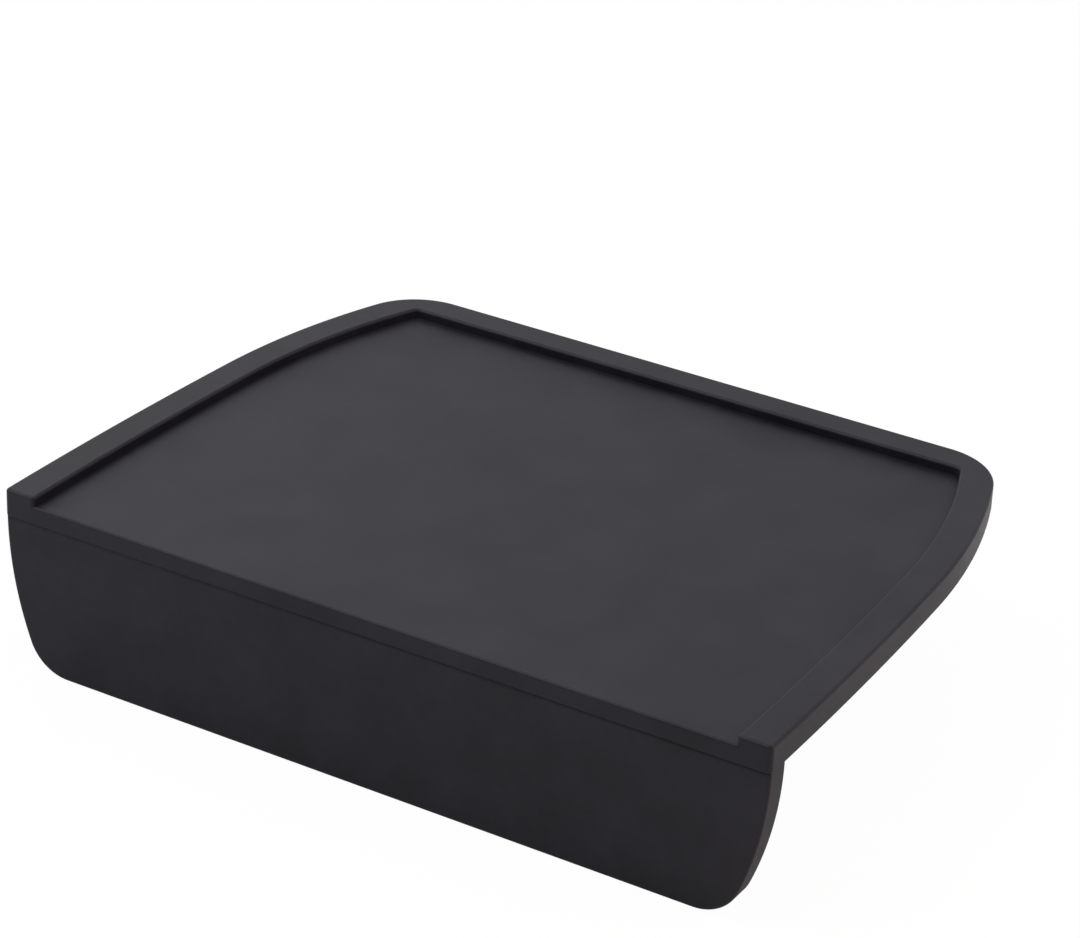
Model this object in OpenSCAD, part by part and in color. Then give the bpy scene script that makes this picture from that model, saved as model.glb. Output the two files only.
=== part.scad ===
// Tamping mat that hangs over a worktop's front edge.
// One moulding in black silicone: a flat plate with a raised rim on three sides, open at the
// front, and an apron that hangs down behind the plate's front edge.
// The origin is the inside corner where the worktop's top edge sits: Z = 0 is the plate's
// underside, Y = 0 the apron's back face and X = 0 the middle. The front faces -Y.

/* [Overall] */
// Width of the plate at its front edge
mat_w = 205; // [185:1:230]
// Depth of the plate, from its front face to its back edge
mat_d = 150; // [138:1:165]
// Height from the top of the rim to the bottom of the apron
mat_h = 47; // [40:1:60]
// Thickness of the plate at its rim
plate_t = 6.9; // [6:0.1:9]

/* [Plan outline] */
// Radius of the two front corners
front_r = 1.2; // [1.1:0.1:4]
// Radius of the long, nearly straight part of each side
side_r = 1400; // [700:10:1800]
// Distance from the front face to where each side starts to close in
shoulder_y = 86; // [75:1:100]
// Radius of each side behind that line
shoulder_r = 184; // [150:1:200]
// Radius of the two rear corners
corner_r = 18; // [12:0.5:26]

/* [Tray] */
// Width of the rim along the sides
rim_w = 8.6; // [5:0.1:12]
// Width of the rim along the back
back_rim_w = 8.5; // [5:0.1:12]
// Height of the rim above the tray's floor
rim_h = 2.4; // [1.5:0.1:3]
// Radius of the tray's two rear corners
tray_corner_r = 2.2; // [1:0.1:6]
// Radius of the floor's edge where it rolls over into the front face
roll_r = 0.6; // [0.4:0.1:2]

/* [Apron] */
// Thickness of the apron
apron_t = 6.6; // [5:0.1:9]
// How far the apron's face is set back from the plate's front
apron_step = 0.3; // [0.1:0.1:1.5]
// How far the apron's sides are set in from the plate's sides
side_step = 0.1; // [0.1:0.1:1.5]
// Radius of each side of the apron, which is upright where it leaves the plate
apron_side_r = 91; // [75:1:140]
// Radius of the apron's two lower corners
apron_corner_r = 11.5; // [6:0.5:20]
// Radius of the fillet in the inside corner, between the plate and the apron
inside_r = 1.5; // [0.5:0.1:3]
// Height of the groove between the plate's front and the apron
groove_h = 0.2; // [0.2:0.1:1]
// Depth of that groove behind the apron's face
groove_d = 0.5; // [0.3:0.1:1.5]

/* [Edges] */
// Radius of the edges that face up or to the front
edge_r = 0.8; // [0.3:0.1:1]
// Radius of the edges of the plate's underside and of the apron's back
under_r = 0.3; // [0.2:0.1:0.8]

/* [Hidden] */
$fn = 64;

// Straight steps that stand for each arc of an outline, and for a quarter turn of an edge
corner_steps = 14;
shoulder_steps = 8;
side_steps = 6;
front_steps = 3;
edge_steps = 4;
// How far solids run into each other, and cutters past a face
lap = 2;
// What the groove leaves at either side of the apron
groove_end = 1;

front_y = -(apron_t + apron_step);
back_y = front_y + mat_d;
floor_z = plate_t - rim_h;
bottom_z = plate_t - mat_h;
apron_w = mat_w - 2 * side_step;

// Centres of the two arcs of the right side, which meet without a kink
shoulder_a = asin((shoulder_y - front_r) / side_r);
side_c = [mat_w / 2 - side_r, front_y + front_r];
shoulder_c = side_c + (side_r - shoulder_r) * [cos(shoulder_a), sin(shoulder_a)];

// Angle at which a rear corner's arc starts, and its centre, on an outline that is set in from
// the plate's sides and from its back
function corner_a(side_in, back_in, r) =
    asin((back_y - back_in - r - shoulder_c.y) / (shoulder_r - side_in - r));
function corner_c(side_in, back_in, r) =
    let (a = corner_a(side_in, back_in, r))
    shoulder_c + (shoulder_r - side_in - r) * [cos(a), sin(a)];

// Points on an arc, without its first one
function arc(c, r, from, to, steps) =
    [for (i = [1:steps]) let (a = from + (to - from) * i / steps) c + r * [cos(a), sin(a)]];

// Closes the right half of an outline with its mirror image
function both_sides(right) =
    concat(right, [for (i = [len(right) - 1:-1:0]) [-right[i].x, right[i].y]]);

// The side and the rear corner of the right half, from the front to the middle of the back,
// with d taken off all round
function right_side(side_in, back_in, r, d) =
    let (a = corner_a(side_in, back_in, r))
    concat(
        arc(side_c, side_r - side_in - d, 0, shoulder_a, side_steps),
        arc(shoulder_c, shoulder_r - side_in - d, shoulder_a, a, shoulder_steps),
        arc(corner_c(side_in, back_in, r), r - d, a, 90, corner_steps)
    );

function plate_outline(d) =
    let (front_c = [mat_w / 2 - front_r, front_y + front_r])
    both_sides(concat(
        [front_c - [0, front_r - d]],
        arc(front_c, front_r - d, -90, 0, front_steps),
        right_side(0, 0, corner_r, d)
    ));

// The tray's outline runs out through the front, where the tray is open
function tray_outline(d) =
    let (wall_x = mat_w / 2 - rim_w - d)
    both_sides(concat(
        [[wall_x, front_y - lap], [wall_x, side_c.y]],
        right_side(rim_w, back_rim_w, tray_corner_r, d)
    ));

// The apron seen from the front: a lower corner, a long arc, then upright into the plate
function apron_outline(d) =
    let (
        arc_c = [apron_w / 2 - apron_side_r, 0],
        reach = apron_side_r - apron_corner_r,
        a = asin((bottom_z + apron_corner_r) / reach),
        lower_c = arc_c + reach * [cos(a), sin(a)]
    )
    both_sides(concat(
        [lower_c - [0, apron_corner_r - d]],
        arc(lower_c, apron_corner_r - d, -90, a, corner_steps),
        arc(arc_c, apron_side_r - d, a, 0, side_steps),
        [[apron_w / 2 - d, edge_r]]
    ));

// Lays outlines of as many points each on each other, at rising heights, as one closed skin
module skin(outlines, heights) {
    n = len(outlines[0]);
    last = len(outlines) - 1;
    polyhedron(
        points = [for (k = [0:last]) for (p = outlines[k]) [p.x, p.y, heights[k]]],
        faces = concat(
            [[for (i = [0:n - 1]) i]],
            [for (k = [0:last - 1]) for (i = [0:n - 1])
                let (a = k * n + i, b = k * n + (i + 1) % n)
                each [[a, a + n, b + n], [a, b + n, b]]],
            [[for (i = [n - 1:-1:0]) last * n + i]]
        )
    );
}

// A slab of thickness t whose edge is rounded all round its outline, by under_r at its lower
// face and by edge_r at its upper face
module rounded_slab(outline, t) {
    turns = [for (i = [0:edge_steps]) 90 * i / edge_steps];
    skin(
        concat(
            [for (a = turns) outline(under_r * (1 - sin(a)))],
            [for (a = turns) outline(edge_r * (1 - cos(a)))]
        ),
        concat(
            [for (a = turns) under_r * (1 - cos(a))],
            [for (a = turns) t - edge_r * (1 - sin(a))]
        )
    );
}

// Draws a side view, with the depth to the right and the height up, from x = -half to half
module across(half) {
    translate([-half, 0, 0])
        rotate([90, 0, 90])
            linear_extrude(2 * half)
                children();
}

// The space over the tray, whose walls flare out where they meet the top of the rim
module tray_space() {
    turns = [for (i = [0:edge_steps]) 90 * i / edge_steps];
    skin(
        concat(
            [tray_outline(0)],
            [for (a = turns) tray_outline(-edge_r * (1 - cos(a)))],
            [tray_outline(-edge_r)]
        ),
        concat(
            [floor_z - roll_r],
            [for (a = turns) plate_t - edge_r * (1 - sin(a))],
            [plate_t + lap]
        )
    );
}

// What the tray's floor keeps of that space: a level floor that rolls down into the front face
module tray_floor() {
    across(mat_w / 2) {
        translate([front_y + roll_r, floor_z - roll_r - lap])
            square([mat_d, roll_r + lap]);
        translate([front_y + roll_r, floor_z - roll_r])
            circle(roll_r);
    }
}

module plate() {
    difference() {
        rounded_slab(function (d) plate_outline(d), plate_t);
        difference() {
            tray_space();
            tray_floor();
        }
    }
}

module apron() {
    difference() {
        rotate([90, 0, 0])
            rounded_slab(function (d) apron_outline(d), apron_t);
        groove();
    }
}

// Narrow groove in the apron's face, right under the plate; it runs on a little into the plate,
// which closes it above
module groove() {
    across(apron_w / 2 - groove_end)
        translate([-apron_t - lap, -groove_h])
            square([lap + groove_d, groove_h + under_r / 2]);
}

// Fillet behind the apron, under the plate
module inside_fillet() {
    across(apron_w / 2 - edge_r)
        difference() {
            translate([-lap, -inside_r]) square([inside_r + lap, inside_r + edge_r]);
            translate([inside_r, -inside_r]) circle(inside_r);
        }
}

module tamper_mat() {
    color("#26272a") {
        plate();
        apron();
        inside_fillet();
    }
}

tamper_mat();
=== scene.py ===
import bmesh
import bpy
import numpy as np
from mathutils import Matrix, Vector


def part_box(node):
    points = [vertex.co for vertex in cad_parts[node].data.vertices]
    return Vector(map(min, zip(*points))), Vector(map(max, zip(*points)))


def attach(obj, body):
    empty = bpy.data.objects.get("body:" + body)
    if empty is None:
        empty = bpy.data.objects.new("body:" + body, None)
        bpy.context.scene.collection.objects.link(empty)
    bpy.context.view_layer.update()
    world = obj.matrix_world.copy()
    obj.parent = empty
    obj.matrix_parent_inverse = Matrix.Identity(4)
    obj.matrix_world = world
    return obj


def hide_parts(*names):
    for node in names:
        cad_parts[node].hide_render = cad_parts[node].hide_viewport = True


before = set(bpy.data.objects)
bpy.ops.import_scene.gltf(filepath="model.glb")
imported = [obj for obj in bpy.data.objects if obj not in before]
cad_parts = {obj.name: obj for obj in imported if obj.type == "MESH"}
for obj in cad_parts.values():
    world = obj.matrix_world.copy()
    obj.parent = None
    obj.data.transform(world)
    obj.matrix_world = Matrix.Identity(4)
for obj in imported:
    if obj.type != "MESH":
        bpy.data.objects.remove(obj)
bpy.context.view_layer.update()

lowCorner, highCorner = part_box("tamper_mat")
mm = 0.001
print("frame loaded")


mat = {
    "frontR": 1.2 * mm,  # front corners in plan
    "sideR": 1400 * mm,  # long, nearly straight part of each side
    "shoulderY": 86 * mm,  # from the front face to where the sides start to close in
    "shoulderR": 184 * mm,  # each side behind that line
    "cornerR": 18 * mm,  # rear corners
    "rimW": 8.6 * mm,  # rim along the sides
    "backRimW": 8.5 * mm,  # rim along the back
    "rimH": 2.4 * mm,  # rim above the tray's floor
    "trayCornerR": 2.2 * mm,  # the tray's rear corners
    "rollR": 0.6 * mm,  # where the tray's floor rolls over into the front face
    "mouthR": 1.0 * mm,  # upright edges where the tray's walls meet the front
    "mouthGap": np.radians(6),  # left off the end of that arc, where the cut would run out thin
    "apronT": 6.6 * mm,  # apron's thickness
    "apronStep": 0.3 * mm,  # apron's set-back from the plate's front
    "sideStep": 0.1 * mm,  # and from its sides
    "apronSideR": 91 * mm,  # apron's sides seen from the front
    "apronCornerR": 11.5 * mm,  # apron's lower corners
    "insideR": 1.5 * mm,  # fillet in the corner that sits on the worktop
    "edgeR": 0.8 * mm,  # edges that face up or to the front
    "underR": 0.3 * mm,  # edges of the plate's underside and of the apron's back
    "seamR": 2.4 * mm,  # where the apron's face leans in, up to the plate
    "seamTurn": np.radians(32),  # how far it turns from upright
    "lap": 2 * mm,  # how far solids run into each other, and cutters past a face
    "weld": 0.002 * mm,  # points nearer to each other than this become one
    "sliver": 0.001 * mm,  # edges shorter than this go
    "sharpTurn": np.radians(32),  # edges that turn by more than this stay sharp
    "strips": {  # how many flat strips each arc has
        "edge": 10,  # a quarter turn of an edge
        "front": 8,
        "side": 24,
        "shoulder": 30,
        "corner": 40,
        "mouth": 8,
        "roll": 16,
        "inside": 12,
        "seam": 10,
    },
}

strips = mat["strips"]
halfWidth = highCorner.x
frontY = lowCorner.y
backY = highCorner.y
rimTop = highCorner.z
apronBottom = lowCorner.z
floorTop = rimTop - mat["rimH"]
quarter = np.linspace(0, np.pi / 2, strips["edge"] + 1)


# points on an arc: centre + radius * (cos t, sin t), with t in even steps between two angles
def arcPoints(centre, radius, start, end, steps):
    t = np.linspace(start, end, steps + 1)[:, None]
    return np.asarray(centre) + radius * np.hstack([np.cos(t), np.sin(t)])


# the right half of an outline followed by its mirror image, which closes it
def bothSides(*parts):
    right = np.vstack(parts)
    return np.vstack([right, right[::-1] * [-1, 1]])


# centres of the side's two arcs, which share a tangent where they meet at sideEnd
sideCentre = np.array([halfWidth - mat["sideR"], frontY + mat["frontR"]])
sideEnd = np.arcsin((mat["shoulderY"] - mat["frontR"]) / mat["sideR"])
shoulderCentre = sideCentre + (mat["sideR"] - mat["shoulderR"]) * np.array(
    [np.cos(sideEnd), np.sin(sideEnd)]
)


# the right side and rear corner: three tangent arcs, set in by sideIn and backIn, radii less d
def rightSide(sideIn, backIn, cornerR, d):
    reach = mat["shoulderR"] - sideIn - cornerR
    turn = np.arcsin((backY - backIn - cornerR - shoulderCentre[1]) / reach)
    corner = shoulderCentre + reach * np.array([np.cos(turn), np.sin(turn)])
    sideR = mat["sideR"] - sideIn - d
    shoulderR = mat["shoulderR"] - sideIn - d
    return np.vstack([
        arcPoints(sideCentre, sideR, 0, sideEnd, strips["side"]),
        arcPoints(shoulderCentre, shoulderR, sideEnd, turn, strips["shoulder"])[1:],
        arcPoints(corner, cornerR - d, turn, np.pi / 2, strips["corner"])[1:],
    ])


# plate in plan, set in by d all round
def plateOutline(d):
    centre = [halfWidth - mat["frontR"], frontY + mat["frontR"]]
    front = arcPoints(centre, mat["frontR"] - d, -np.pi / 2, 0, strips["front"])
    return bothSides(front[:-1], rightSide(0, 0, mat["cornerR"], d))


# tray in plan, set in by d: its walls run out through the front and turn outwards there
def trayOutline(d):
    wallX = halfWidth - mat["rimW"]
    centre = [wallX + mat["mouthR"], frontY + mat["mouthR"]]
    start = -np.pi / 2 - mat["mouthGap"]
    mouth = arcPoints(centre, mat["mouthR"] + d, start, -np.pi, strips["mouth"])
    outside = [[mouth[0, 0], frontY - mat["lap"]]]
    side = rightSide(mat["rimW"], mat["backRimW"], mat["trayCornerR"], d)
    return bothSides(outside, mouth, side)


# apron from the front, in x and z, set in by d: lower corner, long side arc, and an upright end
# that reaches edgeR up into the plate
def apronOutline(d):
    width = halfWidth - mat["sideStep"]
    reach = mat["apronSideR"] - mat["apronCornerR"]
    turn = np.arcsin((apronBottom + mat["apronCornerR"]) / reach)
    centre = np.array([width - mat["apronSideR"], 0])
    lower = centre + reach * np.array([np.cos(turn), np.sin(turn)])
    return bothSides(
        arcPoints(lower, mat["apronCornerR"] - d, -np.pi / 2, turn, strips["corner"]),
        arcPoints(centre, mat["apronSideR"] - d, turn, 0, strips["side"])[1:],
        [[width - d, mat["edgeR"]]],
    )


# closed skin over rings of equal count: ring k lies at level k, quads join each to the next,
# and one face closes either end. toSpace turns (a, b, level) into x, y and z.
def skin(name, rings, levels, toSpace):
    rings = np.asarray(rings)
    ringCount, pointCount = rings.shape[:2]
    level = np.repeat(np.asarray(levels, float), pointCount)
    a, b = rings.reshape(-1, 2).T
    points = np.stack(toSpace(a, b, level), axis=1)
    k, i = np.meshgrid(np.arange(ringCount - 1), np.arange(pointCount), indexing="ij")
    here = k * pointCount + i
    along = k * pointCount + (i + 1) % pointCount
    quads = np.stack([here, along, along + pointCount, here + pointCount], axis=-1)
    first = np.arange(pointCount)
    ends = [first[::-1].tolist(), (first + (ringCount - 1) * pointCount).tolist()]
    mesh = bpy.data.meshes.new(name)
    mesh.from_pydata(points.tolist(), [], quads.reshape(-1, 4).tolist() + ends)
    piece = bpy.data.objects.new(name, mesh)
    bpy.context.scene.collection.objects.link(piece)
    return piece


# slab with quarter-round edges: the inset falls as u - u sin t and rises again as r - r cos t
def roundedSlab(name, outline, thickness, toSpace):
    u, r = mat["underR"], mat["edgeR"]
    insets = np.concatenate([u - u * np.sin(quarter), r - r * np.cos(quarter)])
    levels = np.concatenate([u - u * np.cos(quarter), thickness - r + r * np.sin(quarter)])
    return skin(name, [outline(d) for d in insets], levels, toSpace)


# a side profile in y and z, carried along x from -half to half
def acrossBar(name, profile, half):
    return skin(name, [profile, profile], [-half, half], lambda a, b, level: (level, a, b))


# target joined with or cut by tool, worked out at once, and the tool is deleted
def combine(target, tool, operation):
    modifier = target.modifiers.new(operation, "BOOLEAN")
    modifier.operation = operation
    modifier.solver = "EXACT"
    modifier.object = tool
    shown = target.evaluated_get(bpy.context.evaluated_depsgraph_get())
    result = bpy.data.meshes.new_from_object(shown)
    target.modifiers.clear()
    target.data = result
    bpy.data.objects.remove(tool)
    return target


# rings seen from above: a and b are x and y, and their level is z
def upright(a, b, level):
    return a, b, level


# rings seen from the front: a and b are x and z, and their level runs to the front, as -y
def facingFront(a, b, level):
    return a, -level, b


# tray space: from below the rolled edge up past the rim, wider by r - r cos t over its rounded top
def makeTraySpace():
    r = mat["edgeR"]
    insets = np.concatenate([[0], r * np.cos(quarter) - r, [-r]])
    levels = np.concatenate([
        [floorTop - mat["rollR"]], rimTop - r + r * np.sin(quarter), [rimTop + mat["lap"]]
    ])
    return skin("traySpace", [trayOutline(d) for d in insets], levels, upright)


# floor that stays under that space: level, then a quarter circle down into the front face
def makeFloorBar():
    r = mat["rollR"]
    roll = arcPoints([frontY + r, floorTop - r], r, np.pi / 2, np.pi, strips["roll"])
    under = floorTop - r - mat["lap"]
    profile = np.vstack([roll, [[frontY, under], [backY, under], [backY, floorTop]]])
    return acrossBar("floorBar", profile, halfWidth)


# fillet under the plate, behind the apron: a concave quarter circle between two straight laps
def makeInsideFillet():
    r = mat["insideR"]
    arc = arcPoints([r, -r], r, np.pi, np.pi / 2, strips["inside"])
    profile = np.vstack([arc, [[r, mat["edgeR"]], [-mat["lap"], mat["edgeR"]], [-mat["lap"], -r]]])
    return acrossBar("insideFillet", profile, halfWidth - mat["sideStep"] - mat["edgeR"])


# what comes off the apron for the seam, in side view: upright at first, its face leans in by
# r - r cos t up to z = 0, and the cut runs on a little into the plate
def makeSeam():
    r, turn = mat["seamR"], mat["seamTurn"]
    face = frontY + mat["apronStep"]
    lip = arcPoints([face + r, -r * np.sin(turn)], r, np.pi, np.pi - turn, strips["seam"])
    outside = frontY - mat["lap"]
    top = mat["underR"] / 2
    profile = np.vstack([[[outside, lip[0, 1]]], lip, [[lip[-1, 0], top], [outside, top]]])
    return acrossBar("seam", profile, halfWidth + mat["lap"])


# the mat: plate - (tray space - floor) + (apron - seam) + fillet
def makeMat():
    space = combine(makeTraySpace(), makeFloorBar(), "DIFFERENCE")
    piece = roundedSlab("mat", plateOutline, rimTop, upright)
    combine(piece, space, "DIFFERENCE")
    apron = roundedSlab("apron", apronOutline, mat["apronT"], facingFront)
    combine(apron, makeSeam(), "DIFFERENCE")
    combine(piece, apron, "UNION")
    combine(piece, makeInsideFillet(), "UNION")
    piece.name = "silicone_mat"
    return piece


matPiece = makeMat()
print("mat built:", len(matPiece.data.vertices), "points,", len(matPiece.data.polygons), "faces")


# one value of a shader graph: arithmetic on it adds Math nodes to its tree
class Value:
    def __init__(self, tree, socket):
        self.tree = tree
        self.socket = socket

    def math(self, operation, first, second):
        return self.tree.node("ShaderNodeMath", {"operation": operation}, {0: first, 1: second})

    def __add__(self, other):
        return self.math("ADD", self, other)

    def __radd__(self, other):
        return self.math("ADD", other, self)

    def __sub__(self, other):
        return self.math("SUBTRACT", self, other)

    def __rsub__(self, other):
        return self.math("SUBTRACT", other, self)

    def __mul__(self, other):
        return self.math("MULTIPLY", self, other)

    def __rmul__(self, other):
        return self.math("MULTIPLY", other, self)


# a node tree that is filled by one method: node type, settings, and values or links of its sockets
class Tree:
    def __init__(self, owner):
        owner.use_nodes = True
        self.nodes = owner.node_tree.nodes
        self.links = owner.node_tree.links
        self.nodes.clear()

    def node(self, kind, settings=None, sockets=None, output=0):
        made = self.nodes.new(kind)
        for name, value in (settings or {}).items():
            if name == "stops":
                setStops(made.color_ramp, value)
            else:
                setattr(made, name, value)
        for name, value in (sockets or {}).items():
            if isinstance(value, Value):
                self.links.new(value.socket, made.inputs[name])
            else:
                made.inputs[name].default_value = value
        return Value(self, made.outputs[output]) if len(made.outputs) else None


# a ramp's stops: pairs of position and colour
def setStops(ramp, stops):
    while len(ramp.elements) < len(stops):
        ramp.elements.new(0.5)
    for element, (position, colour) in zip(ramp.elements, stops):
        element.position = position
        element.color = (*colour, 1)


# each pattern has its scale, per metre, and how many finer layers lie on it
silicone = {
    "dark": (0.0040, 0.0036, 0.0066),  # base colour where the pigment lies deep
    "light": (0.0092, 0.0086, 0.0126),  # and where handling has dulled it
    "darkUpTo": 0.35,  # tone at which the dark starts to turn light
    "lightFrom": 0.65,  # and where it is fully light
    "roughness": 0.50,
    "roughnessSpread": 0.10,
    "specular": 0.20,
    "clouds": (60, 2),  # soft clouds of tone
    "mottle": (420, 3),  # fine mottling
    "grain": (2600, 2),  # moulded grain
    "cloudShare": 0.6,  # of the tone; the mottle has the rest
    "grainDepth": 0.012 * mm,
    "waveDepth": 0.05 * mm,  # faint unevenness of a soft moulding
}


# tone = share * clouds + (1 - share) * mottle picks the colour, the mottle alone shifts the
# roughness, and the clouds and the grain give the relief
def makeSilicone():
    material = bpy.data.materials.new("matte_silicone")
    tree = Tree(material)
    place = tree.node("ShaderNodeTexCoord", output="Object")

    def noise(pattern):
        scale, detail = silicone[pattern]
        sockets = {"Vector": place, "Scale": scale, "Detail": detail}
        return tree.node("ShaderNodeTexNoise", {"noise_dimensions": "3D"}, sockets)

    clouds = noise("clouds")
    mottle = noise("mottle")
    grain = noise("grain")
    tone = clouds * silicone["cloudShare"] + mottle * (1 - silicone["cloudShare"])
    stops = [
        (silicone["darkUpTo"], silicone["dark"]),
        (silicone["lightFrom"], silicone["light"]),
    ]
    colour = tree.node("ShaderNodeValToRGB", {"stops": stops}, {0: tone})
    roughness = silicone["roughness"] + (mottle - 0.5) * silicone["roughnessSpread"]
    wave = tree.node(
        "ShaderNodeBump",
        None,
        {"Strength": 1, "Distance": silicone["waveDepth"], "Height": clouds},
    )
    relief = tree.node(
        "ShaderNodeBump",
        None,
        {"Strength": 1, "Distance": silicone["grainDepth"], "Height": grain, "Normal": wave},
    )
    shader = tree.node(
        "ShaderNodeBsdfPrincipled",
        None,
        {
            "Base Color": colour,
            "Roughness": roughness,
            "Specular IOR Level": silicone["specular"],
            "Normal": relief,
        },
    )
    tree.node("ShaderNodeOutputMaterial", None, {"Surface": shader})
    return material


# smooth shading that keeps flat faces flat and the seam and the foot of the tray's walls sharp
def finishSurface(piece):
    mesh = bmesh.new()
    mesh.from_mesh(piece.data)
    bmesh.ops.remove_doubles(mesh, verts=mesh.verts, dist=mat["weld"])
    bmesh.ops.dissolve_degenerate(mesh, edges=mesh.edges, dist=mat["sliver"])
    mesh.to_mesh(piece.data)
    mesh.free()
    piece.data.shade_smooth()
    piece.data.set_sharp_from_angle(angle=mat["sharpTurn"])
    weighted = piece.modifiers.new("evenNormals", "WEIGHTED_NORMAL")
    weighted.keep_sharp = True


finishSurface(matPiece)
matPiece.data.materials.clear()
matPiece.data.materials.append(makeSilicone())
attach(matPiece, "root")
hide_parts("tamper_mat")
print("silicone made")


studio = {
    "floorSize": 8,
    "floorCells": 8,  # squares along each side of the floor
    "floorColour": (0.74, 0.74, 0.75),
    "floorSeen": 0.97,  # how much of the floor shows plain white; the rest keeps its shadow
    "floorMirrored": 0.05,  # the same in reflections
    "gap": 0.2 * mm,  # between the apron's bottom and the floor
}

# the sky's brightness is level + up * z + back * y + right * x of the direction, never below least
sky = {
    "colour": (0.95, 0.97, 1.0),
    "level": 0.40,
    "up": 0.60,
    "back": 0.45,
    "right": -0.10,
    "least": 0.05,
    "mirrored": 0.20,  # how much of it shows plain white in reflections
}

# each lamp: place, what it points at, width and height, power in watts, colour
lamps = {
    "main": ((-0.60, -0.40, 1.00), (0, 0.02, 0), 0.7, 0.7, 8.5, (1, 0.99, 0.985)),
    "right": ((0.42, 0.10, 0.30), (0.12, 0.05, -0.02), 0.3, 0.3, 1.3, (1, 0.76, 0.66)),
    "backLeft": ((-1.00, 0.83, 0.75), (0, 0.07, 0), 0.8, 0.6, 1.5, (1, 0.98, 1)),
    "frontLeft": ((-0.42, -0.30, 0.10), (-0.10, -0.01, -0.01), 0.3, 0.15, 0.35, (0.96, 0.96, 1)),
}


# what share shows white: one value where the camera or a clear material looks, one in reflections
def whiteShare(tree, seen, mirrored):
    camera = tree.node("ShaderNodeLightPath", None, None, "Is Camera Ray")
    glossy = tree.node("ShaderNodeLightPath", None, None, "Is Glossy Ray")
    clear = tree.node("ShaderNodeLightPath", None, None, "Is Transmission Ray")
    return (camera + clear) * seen + glossy * mirrored


# a diffuse floor that shows plain white by whiteShare
def makePaleFloor():
    material = bpy.data.materials.new("pale_floor")
    tree = Tree(material)
    plain = tree.node("ShaderNodeBsdfDiffuse", None, {"Color": (*studio["floorColour"], 1)})
    white = tree.node("ShaderNodeEmission", None, {"Color": (1, 1, 1, 1), "Strength": 1})
    share = whiteShare(tree, studio["floorSeen"], studio["floorMirrored"])
    mix = tree.node("ShaderNodeMixShader", None, {0: share, 1: plain, 2: white})
    tree.node("ShaderNodeOutputMaterial", None, {"Surface": mix})
    return material


# floor: a level grid of cells by cells squares, just under the apron
def makeFloor():
    z = apronBottom - studio["gap"]
    half = studio["floorSize"] / 2
    cells = studio["floorCells"]
    row = cells + 1
    line = np.linspace(-half, half, row)
    x, y = np.meshgrid(line, line, indexing="ij")
    points = np.stack([x, y, np.full_like(x, z)], axis=-1).reshape(-1, 3)
    i, j = np.meshgrid(np.arange(cells), np.arange(cells), indexing="ij")
    corner = i * row + j
    quads = np.stack([corner, corner + row, corner + row + 1, corner + 1], axis=-1)
    mesh = bpy.data.meshes.new("floor")
    mesh.from_pydata(points.tolist(), [], quads.reshape(-1, 4).tolist())
    floor = bpy.data.objects.new("floor", mesh)
    bpy.context.scene.collection.objects.link(floor)
    mesh.materials.append(makePaleFloor())


# the sky's gradient, which shows plain white by whiteShare
def makeWorld():
    world = bpy.data.worlds.new("studio")
    bpy.context.scene.world = world
    tree = Tree(world)
    way = tree.node("ShaderNodeTexCoord", output="Generated")
    x, y, z = [tree.node("ShaderNodeSeparateXYZ", None, {0: way}, axis) for axis in "XYZ"]
    level = sky["level"] + z * sky["up"] + y * sky["back"] + x * sky["right"]
    strength = tree.node("ShaderNodeMath", {"operation": "MAXIMUM"}, {0: level, 1: sky["least"]})
    colour = (*sky["colour"], 1)
    soft = tree.node("ShaderNodeBackground", None, {"Color": colour, "Strength": strength})
    white = tree.node("ShaderNodeBackground", None, {"Color": (1, 1, 1, 1), "Strength": 1})
    share = whiteShare(tree, 1, sky["mirrored"])
    mix = tree.node("ShaderNodeMixShader", None, {0: share, 1: soft, 2: white})
    tree.node("ShaderNodeOutputWorld", None, {"Surface": mix})


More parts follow.
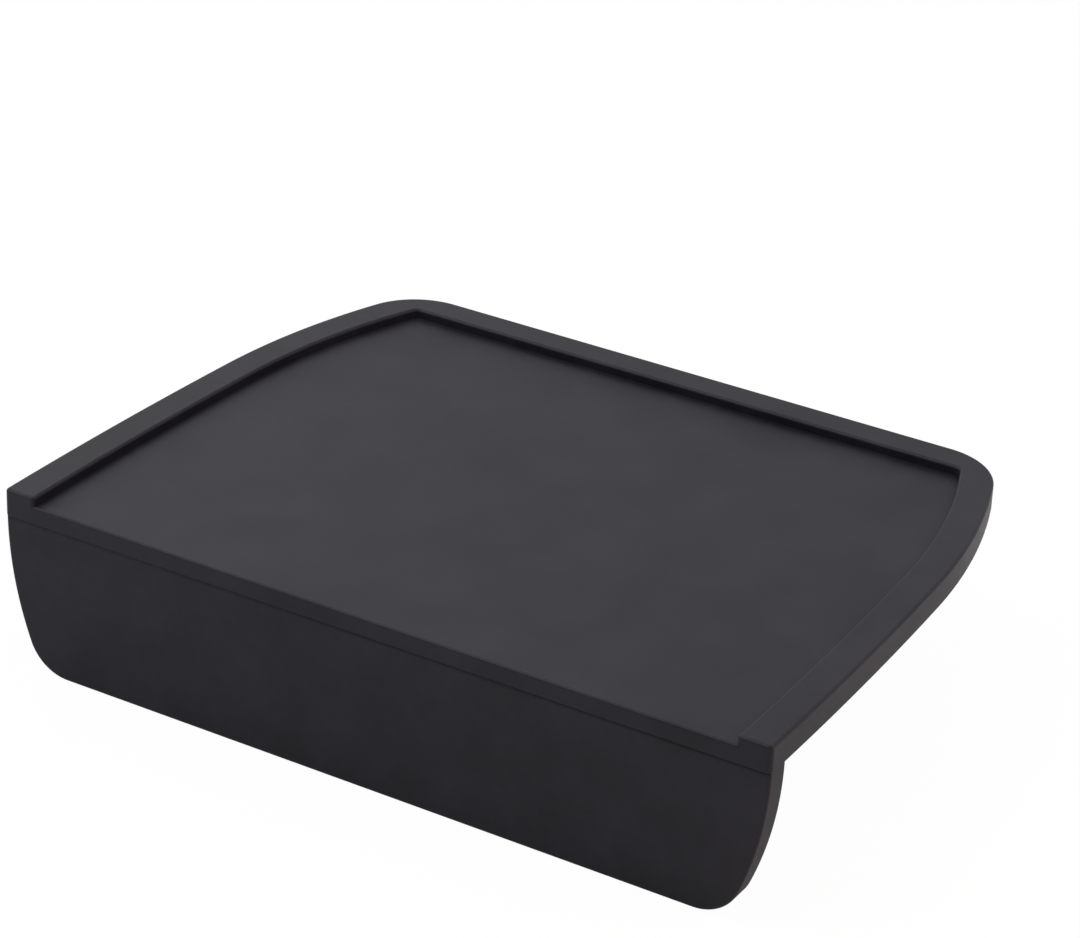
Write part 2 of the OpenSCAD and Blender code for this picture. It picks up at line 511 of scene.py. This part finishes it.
# one area lamp for each row of the table, its front turned to what it points at
def makeLamps():
    for name, (place, target, width, height, power, colour) in lamps.items():
        data = bpy.data.lights.new(name, "AREA")
        data.shape = "RECTANGLE"
        data.size = width
        data.size_y = height
        data.energy = power
        data.color = colour
        lamp = bpy.data.objects.new(name, data)
        lamp.location = place
        lamp.rotation_euler = (Vector(target) - Vector(place)).to_track_quat("-Z", "Y").to_euler()
        bpy.context.scene.collection.objects.link(lamp)


makeFloor()
makeWorld()
makeLamps()
print("stage made")


camera = {
    "azimuth": 30.166,  # degrees to the mat's right
    "elevation": 27.122,
    "roll": -2.359,
    "distance": 846.34 * mm,
    "aim": (-38.47 * mm, -31.71 * mm),  # the rim's front middle, right and up of the picture's middle
    "lens": 126.399,  # millimetres
    "sensor": 36,  # millimetres, the frame's width
    "near": 0.01,  # what the camera sees lies between these two distances
    "far": 50,
}


# the camera looks along forward; right and up are its frame's own axes, turned by the roll
def makeCamera():
    az, el, roll = np.radians([camera["azimuth"], camera["elevation"], camera["roll"]])
    level = np.array([np.cos(az), np.sin(az), 0])
    rise = np.array([-np.sin(az) * np.sin(el), np.cos(az) * np.sin(el), np.cos(el)])
    forward = np.array([-np.sin(az) * np.cos(el), np.cos(az) * np.cos(el), -np.sin(el)])
    right = np.cos(roll) * level - np.sin(roll) * rise
    up = np.sin(roll) * level + np.cos(roll) * rise
    rimFront = np.array([0, frontY, rimTop])
    aimRight, aimUp = camera["aim"]
    place = rimFront - aimRight * right - aimUp * up - camera["distance"] * forward
    data = bpy.data.cameras.new("camera")
    data.lens = camera["lens"]
    data.sensor_width = camera["sensor"]
    data.clip_start = camera["near"]
    data.clip_end = camera["far"]
    made = bpy.data.objects.new("camera", data)
    bpy.context.scene.collection.objects.link(made)
    axes = np.eye(4)
    axes[:3, :3] = np.stack([right, up, -forward], axis=1)
    axes[:3, 3] = place
    made.matrix_world = Matrix(axes.tolist())
    bpy.context.scene.camera = made


makeCamera()
bpy.context.scene.view_settings.view_transform = "Standard"
print("camera set")
